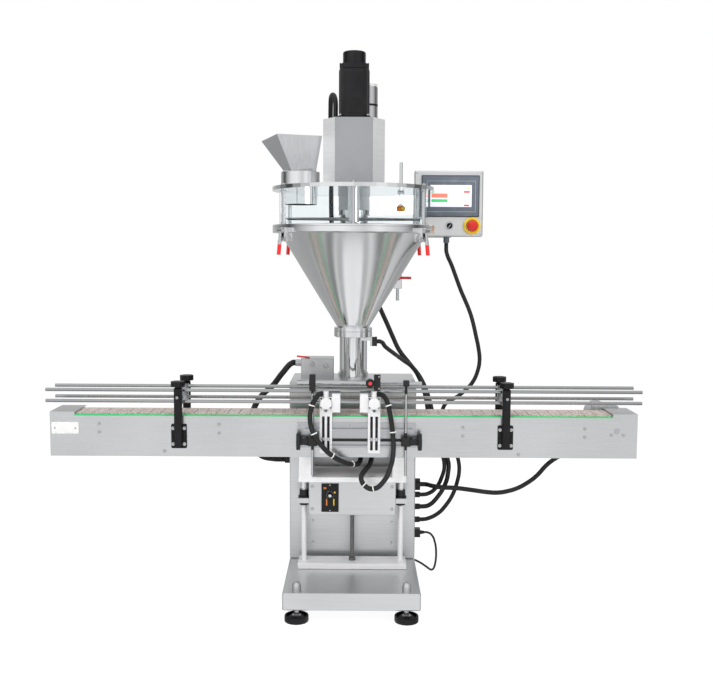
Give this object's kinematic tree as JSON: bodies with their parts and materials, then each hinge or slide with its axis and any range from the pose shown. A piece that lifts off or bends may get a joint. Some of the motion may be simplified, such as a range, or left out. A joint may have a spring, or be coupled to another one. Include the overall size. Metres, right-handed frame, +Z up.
{
  "type": "auger powder filler",
  "caption": "Powder filling machine: servo-driven auger hopper on a lifting head over a slat-chain conveyor with container stops, sensors, guide rails and a swivelling operator panel.",
  "frame": {"origin": "on the floor, under the middle of the machine's box without its free cords", "axes": "+Z up; +X along the conveyor, the way containers travel from infeed to outfeed; +Y to the machine's rear"},
  "size_m": [2.03, 0.8178, 1.89],
  "materials": {
    "agitator_finish": "polished",
    "auger_screw_finish": "polished",
    "auger_tube_finish": "polished",
    "base_plinth_finish": "brushed",
    "cabinet_finish": "brushed",
    "clamp_lever_front_left_finish": "gloss",
    "clamp_lever_front_right_finish": "gloss",
    "clamp_lever_rear_left_finish": "gloss",
    "clamp_lever_rear_right_finish": "gloss",
    "column_lock_lever_finish": "gloss",
    "conveyor_front_plate_finish": "brushed",
    "conveyor_gearmotor_finish": "satin",
    "conveyor_rear_plate_finish": "brushed",
    "drive_sprocket_finish": "satin",
    "dust_collector_finish": "brushed",
    "dust_hose_finish": "ribbed",
    "estop_button_finish": "gloss",
    "feed_chute_finish": "polished",
    "front_rails_finish": "polished",
    "gate_hose_left_finish": "ribbed",
    "gate_hose_right_finish": "ribbed",
    "head_bracket_finish": "satin",
    "head_cable_finish": "satin",
    "head_column_finish": "polished",
    "hopper_cone_finish": "polished",
    "hopper_window_finish": "clear",
    "idler_sprocket_finish": "satin",
    "lead_screw_finish": "polished",
    "lid_plate_finish": "polished",
    "lift_carriage_finish": "satin",
    "lift_housing_finish": "brushed",
    "motor_cable_finish": "satin",
    "motor_cover_finish": "brushed",
    "operator_panel_finish": "brushed",
    "panel_cable_finish": "satin",
    "power_coil_finish": "satin",
    "power_cord_finish": "satin",
    "power_plug_finish": "satin",
    "rail_bracket_front_left_finish": "satin",
    "rail_bracket_front_right_finish": "satin",
    "rail_bracket_rear_left_finish": "satin",
    "rail_bracket_rear_right_finish": "satin",
    "rail_knob_front_left_finish": "satin",
    "rail_knob_front_right_finish": "satin",
    "rail_knob_rear_left_finish": "satin",
    "rail_knob_rear_right_finish": "satin",
    "rear_rails_finish": "polished",
    "selector_knob_finish": "gloss",
    "sensor_stand_left_finish": "polished",
    "sensor_stand_right_finish": "polished",
    "servo_motor_finish": "satin",
    "slat_chain_finish": "matte",
    "speed_dial_finish": "gloss",
    "stop_mount_plate_finish": "satin",
    "stop_pin_left_finish": "polished",
    "stop_pin_right_finish": "polished",
    "stop_unit_left_finish": "satin",
    "stop_unit_right_finish": "satin",
    "vibrator_cable_finish": "satin",
    "window_frame_finish": "polished"
  },
  "bodies": {
    "machine": {"base_plinth": "base_plinth_finish", "cabinet": "cabinet_finish", "lift_housing": "lift_housing_finish", "head_column": "head_column_finish", "dust_collector": "dust_collector_finish", "dust_hose": "dust_hose_finish", "power_cord": "power_cord_finish", "power_coil": "power_coil_finish", "power_plug": "power_plug_finish"},
    "conveyor": {"lift_carriage": "lift_carriage_finish", "conveyor_front_plate": "conveyor_front_plate_finish", "conveyor_rear_plate": "conveyor_rear_plate_finish", "slat_chain": "slat_chain_finish", "conveyor_gearmotor": "conveyor_gearmotor_finish", "stop_mount_plate": "stop_mount_plate_finish", "stop_unit_left": "stop_unit_left_finish", "stop_unit_right": "stop_unit_right_finish", "sensor_stand_left": "sensor_stand_left_finish", "sensor_stand_right": "sensor_stand_right_finish", "rail_bracket_front_left": "rail_bracket_front_left_finish", "rail_bracket_front_right": "rail_bracket_front_right_finish", "rail_bracket_rear_left": "rail_bracket_rear_left_finish", "rail_bracket_rear_right": "rail_bracket_rear_right_finish", "motor_cable": "motor_cable_finish", "gate_hose_left": "gate_hose_left_finish", "gate_hose_right": "gate_hose_right_finish"},
    "head": {"head_bracket": "head_bracket_finish", "lid_plate": "lid_plate_finish", "hopper_window": "hopper_window_finish", "window_frame": "window_frame_finish", "hopper_cone": "hopper_cone_finish", "auger_tube": "auger_tube_finish", "motor_cover": "motor_cover_finish", "servo_motor": "servo_motor_finish", "feed_chute": "feed_chute_finish", "head_cable": "head_cable_finish", "vibrator_cable": "vibrator_cable_finish"},
    "panel": {"operator_panel": "operator_panel_finish", "panel_cable": "panel_cable_finish"},
    "speed_dial_body": {"speed_dial": "speed_dial_finish"},
    "column_lock_lever_body": {"column_lock_lever": "column_lock_lever_finish"},
    "lead_screw_body": {"lead_screw": "lead_screw_finish"},
    "idler_sprocket_body": {"idler_sprocket": "idler_sprocket_finish"},
    "drive_sprocket_body": {"drive_sprocket": "drive_sprocket_finish"},
    "front_rails_body": {"front_rails": "front_rails_finish"},
    "rear_rails_body": {"rear_rails": "rear_rails_finish"},
    "stop_pin_left_body": {"stop_pin_left": "stop_pin_left_finish"},
    "stop_pin_right_body": {"stop_pin_right": "stop_pin_right_finish"},
    "auger_screw_body": {"auger_screw": "auger_screw_finish"},
    "agitator_body": {"agitator": "agitator_finish"},
    "estop_button_body": {"estop_button": "estop_button_finish"},
    "selector_knob_body": {"selector_knob": "selector_knob_finish"},
    "rail_knob_front_left_body": {"rail_knob_front_left": "rail_knob_front_left_finish"},
    "rail_knob_front_right_body": {"rail_knob_front_right": "rail_knob_front_right_finish"},
    "rail_knob_rear_left_body": {"rail_knob_rear_left": "rail_knob_rear_left_finish"},
    "rail_knob_rear_right_body": {"rail_knob_rear_right": "rail_knob_rear_right_finish"},
    "clamp_lever_front_left_body": {"clamp_lever_front_left": "clamp_lever_front_left_finish"},
    "clamp_lever_front_right_body": {"clamp_lever_front_right": "clamp_lever_front_right_finish"},
    "clamp_lever_rear_left_body": {"clamp_lever_rear_left": "clamp_lever_rear_left_finish"},
    "clamp_lever_rear_right_body": {"clamp_lever_rear_right": "clamp_lever_rear_right_finish"}
  },
  "joints": [
    {"name": "conveyor_lift", "type": "slide", "parent": "machine", "child": "conveyor", "axis": [0, 0, 1], "range_m": [0, 0.03], "deforming": ["motor_cable"]},
    {"name": "lead_screw_turn", "type": "hinge", "parent": "conveyor", "child": "lead_screw_body", "pos_m": [0.03, -0.0075, 0.25], "axis": [0, 0, 1], "range_deg": [0, 2160]},
    {"name": "head_lift", "type": "slide", "parent": "machine", "child": "head", "axis": [0, 0, 1], "range_m": [0, 0.12], "deforming": ["head_cable", "vibrator_cable"]},
    {"name": "auger_spin", "type": "hinge", "parent": "head", "child": "auger_screw_body", "pos_m": [0.03, -0.0625, 1.2], "axis": [0, 0, -1], "continuous": true},
    {"name": "agitator_spin", "type": "hinge", "parent": "head", "child": "agitator_body", "pos_m": [0.03, -0.0625, 1.4], "axis": [0, 0, 1], "continuous": true},
    {"name": "clamp_front_left", "type": "hinge", "parent": "head", "child": "clamp_lever_front_left_body", "pos_m": [-0.20272, -0.25778, 1.29], "axis": [-0.6428, 0.766, 0], "range_deg": [0, 60]},
    {"name": "clamp_front_right", "type": "hinge", "parent": "head", "child": "clamp_lever_front_right_body", "pos_m": [0.26272, -0.25778, 1.29], "axis": [-0.6428, -0.766, 0], "range_deg": [0, 60]},
    {"name": "clamp_rear_left", "type": "hinge", "parent": "head", "child": "clamp_lever_rear_left_body", "pos_m": [-0.20272, 0.13278, 1.29], "axis": [0.6428, 0.766, 0], "range_deg": [0, 60]},
    {"name": "clamp_rear_right", "type": "hinge", "parent": "head", "child": "clamp_lever_rear_right_body", "pos_m": [0.26272, 0.13278, 1.29], "axis": [0.6428, -0.766, 0], "range_deg": [0, 60]},
    {"name": "panel_swivel", "type": "hinge", "parent": "machine", "child": "panel", "pos_m": [0.378, 0.2755, 1.31], "axis": [0, 0, 1], "range_deg": [-30, 0], "deforming": ["panel_cable"]},
    {"name": "estop_press", "type": "slide", "parent": "panel", "child": "estop_button_body", "axis": [0, 1, 0], "range_m": [0, 0.005], "stiffness_N_per_m": 800},
    {"name": "selector_turn", "type": "hinge", "parent": "panel", "child": "selector_knob_body", "pos_m": [0.3815, 0.1925, 1.3221], "axis": [0, -1, 0], "range_deg": [-45, 45]},
    {"name": "speed_dial_turn", "type": "hinge", "parent": "machine", "child": "speed_dial_body", "pos_m": [-0.0483, -0.0415, 0.373], "axis": [0, -1, 0], "range_deg": [-135, 135]},
    {"name": "column_lock", "type": "hinge", "parent": "machine", "child": "column_lock_lever_body", "pos_m": [0.196, 0.2605, 1.12875], "axis": [0, -1, 0], "range_deg": [-90, 90]},
    {"name": "drive_spin", "type": "hinge", "parent": "conveyor", "child": "drive_sprocket_body", "pos_m": [0.9275, -0.0625, 0.6225], "axis": [0, 1, 0], "continuous": true},
    {"name": "idler_spin", "type": "hinge", "parent": "conveyor", "child": "idler_sprocket_body", "pos_m": [-0.9275, -0.0625, 0.6225], "axis": [0, 1, 0], "continuous": true},
    {"name": "front_rail_width", "type": "slide", "parent": "conveyor", "child": "front_rails_body", "axis": [0, 1, 0], "range_m": [-0.006, 0.02]},
    {"name": "rear_rail_width", "type": "slide", "parent": "conveyor", "child": "rear_rails_body", "axis": [0, -1, 0], "range_m": [-0.006, 0.02]},
    {"name": "rail_knob_turn_front_left", "type": "hinge", "parent": "conveyor", "child": "rail_knob_front_left_body", "pos_m": [-0.559, -0.145, 0.78], "axis": [0, 0, 1], "continuous": true},
    {"name": "rail_knob_turn_front_right", "type": "hinge", "parent": "conveyor", "child": "rail_knob_front_right_body", "pos_m": [0.549, -0.145, 0.78], "axis": [0, 0, 1], "continuous": true},
    {"name": "rail_knob_turn_rear_left", "type": "hinge", "parent": "conveyor", "child": "rail_knob_rear_left_body", "pos_m": [-0.559, 0.02, 0.78], "axis": [0, 0, 1], "continuous": true},
    {"name": "rail_knob_turn_rear_right", "type": "hinge", "parent": "conveyor", "child": "rail_knob_rear_right_body", "pos_m": [0.549, 0.02, 0.78], "axis": [0, 0, 1], "continuous": true},
    {"name": "stop_pin_left_stroke", "type": "slide", "parent": "conveyor", "child": "stop_pin_left_body", "axis": [0, 1, 0], "range_m": [0, 0.022]},
    {"name": "stop_pin_right_stroke", "type": "slide", "parent": "conveyor", "child": "stop_pin_right_body", "axis": [0, 1, 0], "range_m": [0, 0.022]}
  ],
  "couplings": [
    {"joint": "lead_screw_turn", "follows": "conveyor_lift", "rad_per_m": 1256.6},
    {"joint": "idler_spin", "follows": "drive_spin", "ratio": 1}
  ]
}
